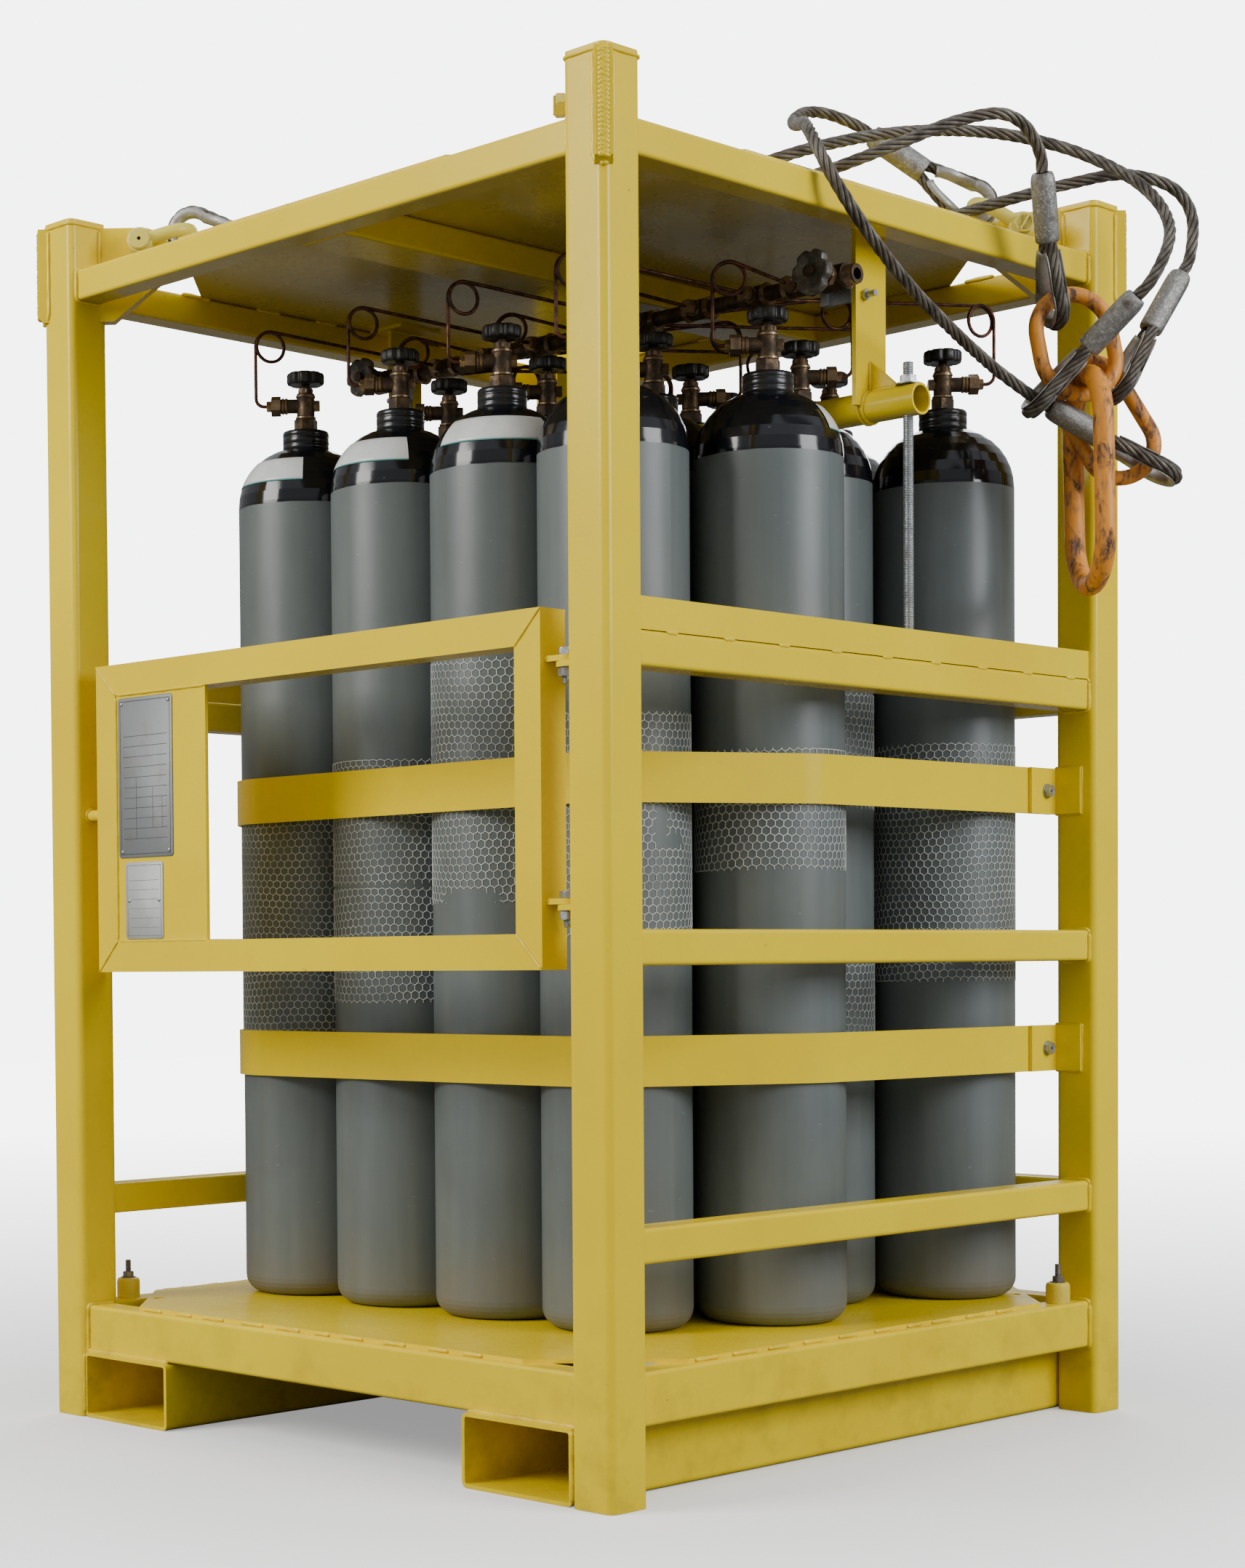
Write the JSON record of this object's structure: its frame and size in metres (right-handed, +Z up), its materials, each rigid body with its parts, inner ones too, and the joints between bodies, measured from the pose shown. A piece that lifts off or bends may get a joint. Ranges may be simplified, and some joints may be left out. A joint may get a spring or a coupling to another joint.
{
  "type": "gas cylinder rack",
  "caption": "Lifting frame with fork pockets and a swing gate that holds upright gas bottles piped to one manifold, with a wire rope lifting sling.",
  "frame": {"origin": "middle of the frame's footprint, on the ground", "axes": "+Z up, -Y towards the gate and the fork pocket mouths, +X to the right of them"},
  "size_m": [1.4894, 1.2762, 2.1314],
  "materials": {
    "yellow_paint": "gloss",
    "zinc_fasteners": "satin",
    "net_plastic": "matte",
    "bottle_paint": "satin",
    "aged_brass": "satin",
    "bright_brass": "satin",
    "copper_tube": "satin",
    "wire_rope": "matte",
    "thimble_steel": "satin",
    "ferrule_alloy": "satin",
    "link_paint": "satin",
    "bare_plates": "satin",
    "wheel_rubber": "matte",
    "wheel_casting": "matte"
  },
  "bodies": {
    "rack": {"corner_posts": "yellow_paint", "eye_plates": "yellow_paint", "top_rails": "yellow_paint", "roof_plate": "yellow_paint", "roof_beam": "yellow_paint", "base_rails": "yellow_paint", "floor_plate": "yellow_paint", "fork_pockets": "yellow_paint", "guard_rails": "yellow_paint", "upstand_bars": "yellow_paint", "earth_bosses": "zinc_fasteners", "gate_stop": "yellow_paint", "post_hinge_lugs": "yellow_paint", "hinge_bolts": "zinc_fasteners", "bands": "yellow_paint", "band_cleats": "yellow_paint", "band_bolts": "zinc_fasteners", "clamp_bar": "yellow_paint", "hanger_plates": "yellow_paint", "tie_rods": "zinc_fasteners", "net_sleeves": "net_plastic", "bottles": "bottle_paint", "bottle_valves": "aged_brass", "outlet_nuts": "bright_brass", "pigtails": "copper_tube", "manifold_pipe": "aged_brass", "manifold_valves": "aged_brass", "manifold_clips": "zinc_fasteners", "shackles": "yellow_paint", "sling_leg_right": "wire_rope", "sling_leg_near": "wire_rope", "sling_leg_left": "wire_rope", "sling_leg_far": "wire_rope", "sling_eyes": "wire_rope", "thimbles": "thimble_steel", "ferrules": "ferrule_alloy", "master_link": "link_paint", "sling_links": "link_paint"},
    "gate": {"gate_frame": "yellow_paint", "gate_panel": "yellow_paint", "gate_lugs": "yellow_paint", "data_plates": "bare_plates"},
    "valve_wheel_1": {"valve_wheel_1": "wheel_rubber"},
    "valve_wheel_2": {"valve_wheel_2": "wheel_rubber"},
    "valve_wheel_3": {"valve_wheel_3": "wheel_rubber"},
    "valve_wheel_4": {"valve_wheel_4": "wheel_rubber"},
    "valve_wheel_5": {"valve_wheel_5": "wheel_rubber"},
    "valve_wheel_6": {"valve_wheel_6": "wheel_rubber"},
    "valve_wheel_7": {"valve_wheel_7": "wheel_rubber"},
    "valve_wheel_8": {"valve_wheel_8": "wheel_rubber"},
    "valve_wheel_9": {"valve_wheel_9": "wheel_rubber"},
    "valve_wheel_10": {"valve_wheel_10": "wheel_rubber"},
    "valve_wheel_11": {"valve_wheel_11": "wheel_rubber"},
    "valve_wheel_12": {"valve_wheel_12": "wheel_rubber"},
    "valve_wheel_13": {"valve_wheel_13": "wheel_rubber"},
    "valve_wheel_14": {"valve_wheel_14": "wheel_rubber"},
    "valve_wheel_15": {"valve_wheel_15": "wheel_rubber"},
    "valve_wheel_16": {"valve_wheel_16": "wheel_rubber"},
    "manifold_wheel_left": {"manifold_wheel_left": "wheel_casting"},
    "manifold_wheel_right": {"manifold_wheel_right": "wheel_casting"}
  },
  "joints": [
    {"name": "valve_turn_1", "type": "hinge", "parent": "rack", "child": "valve_wheel_1", "pos_m": [-0.403, -0.2429, 1.733], "axis": [0, 0, 1], "range_deg": [0, 720]},
    {"name": "valve_turn_2", "type": "hinge", "parent": "rack", "child": "valve_wheel_2", "pos_m": [-0.171, -0.2429, 1.733], "axis": [0, 0, 1], "range_deg": [0, 720]},
    {"name": "valve_turn_3", "type": "hinge", "parent": "rack", "child": "valve_wheel_3", "pos_m": [0.061, -0.2429, 1.733], "axis": [0, 0, 1], "range_deg": [0, 720]},
    {"name": "valve_turn_4", "type": "hinge", "parent": "rack", "child": "valve_wheel_4", "pos_m": [0.293, -0.2429, 1.733], "axis": [0, 0, 1], "range_deg": [0, 720]},
    {"name": "valve_turn_5", "type": "hinge", "parent": "rack", "child": "valve_wheel_5", "pos_m": [-0.287, -0.0163, 1.733], "axis": [0, 0, 1], "range_deg": [0, 720]},
    {"name": "valve_turn_6", "type": "hinge", "parent": "rack", "child": "valve_wheel_6", "pos_m": [-0.055, -0.0163, 1.733], "axis": [0, 0, 1], "range_deg": [0, 720]},
    {"name": "valve_turn_7", "type": "hinge", "parent": "rack", "child": "valve_wheel_7", "pos_m": [0.177, -0.0163, 1.733], "axis": [0, 0, 1], "range_deg": [0, 720]},
    {"name": "valve_turn_8", "type": "hinge", "parent": "rack", "child": "valve_wheel_8", "pos_m": [0.409, -0.0163, 1.733], "axis": [0, 0, 1], "range_deg": [0, 720]},
    {"name": "valve_turn_9", "type": "hinge", "parent": "rack", "child": "valve_wheel_9", "pos_m": [-0.403, 0.2103, 1.733], "axis": [0, 0, 1], "range_deg": [0, 720]},
    {"name": "valve_turn_10", "type": "hinge", "parent": "rack", "child": "valve_wheel_10", "pos_m": [-0.171, 0.2103, 1.733], "axis": [0, 0, 1], "range_deg": [0, 720]},
    {"name": "valve_turn_11", "type": "hinge", "parent": "rack", "child": "valve_wheel_11", "pos_m": [0.061, 0.2103, 1.733], "axis": [0, 0, 1], "range_deg": [0, 720]},
    {"name": "valve_turn_12", "type": "hinge", "parent": "rack", "child": "valve_wheel_12", "pos_m": [0.293, 0.2103, 1.733], "axis": [0, 0, 1], "range_deg": [0, 720]},
    {"name": "valve_turn_13", "type": "hinge", "parent": "rack", "child": "valve_wheel_13", "pos_m": [-0.287, 0.4369, 1.733], "axis": [0, 0, 1], "range_deg": [0, 720]},
    {"name": "valve_turn_14", "type": "hinge", "parent": "rack", "child": "valve_wheel_14", "pos_m": [-0.055, 0.4369, 1.733], "axis": [0, 0, 1], "range_deg": [0, 720]},
    {"name": "valve_turn_15", "type": "hinge", "parent": "rack", "child": "valve_wheel_15", "pos_m": [0.177, 0.4369, 1.733], "axis": [0, 0, 1], "range_deg": [0, 720]},
    {"name": "valve_turn_16", "type": "hinge", "parent": "rack", "child": "valve_wheel_16", "pos_m": [0.409, 0.4369, 1.733], "axis": [0, 0, 1], "range_deg": [0, 720]},
    {"name": "manifold_turn_left", "type": "hinge", "parent": "rack", "child": "manifold_wheel_left", "pos_m": [-0.5, -0.022, 1.782], "axis": [0, -1, 0], "range_deg": [0, 720]},
    {"name": "manifold_turn_right", "type": "hinge", "parent": "rack", "child": "manifold_wheel_right", "pos_m": [0.5, -0.022, 1.782], "axis": [0, -1, 0], "range_deg": [0, 720]},
    {"name": "gate_hinge", "type": "hinge", "parent": "rack", "child": "gate", "pos_m": [0.519, -0.588, 1], "axis": [0, 0, 1], "range_deg": [0, 95]}
  ]
}
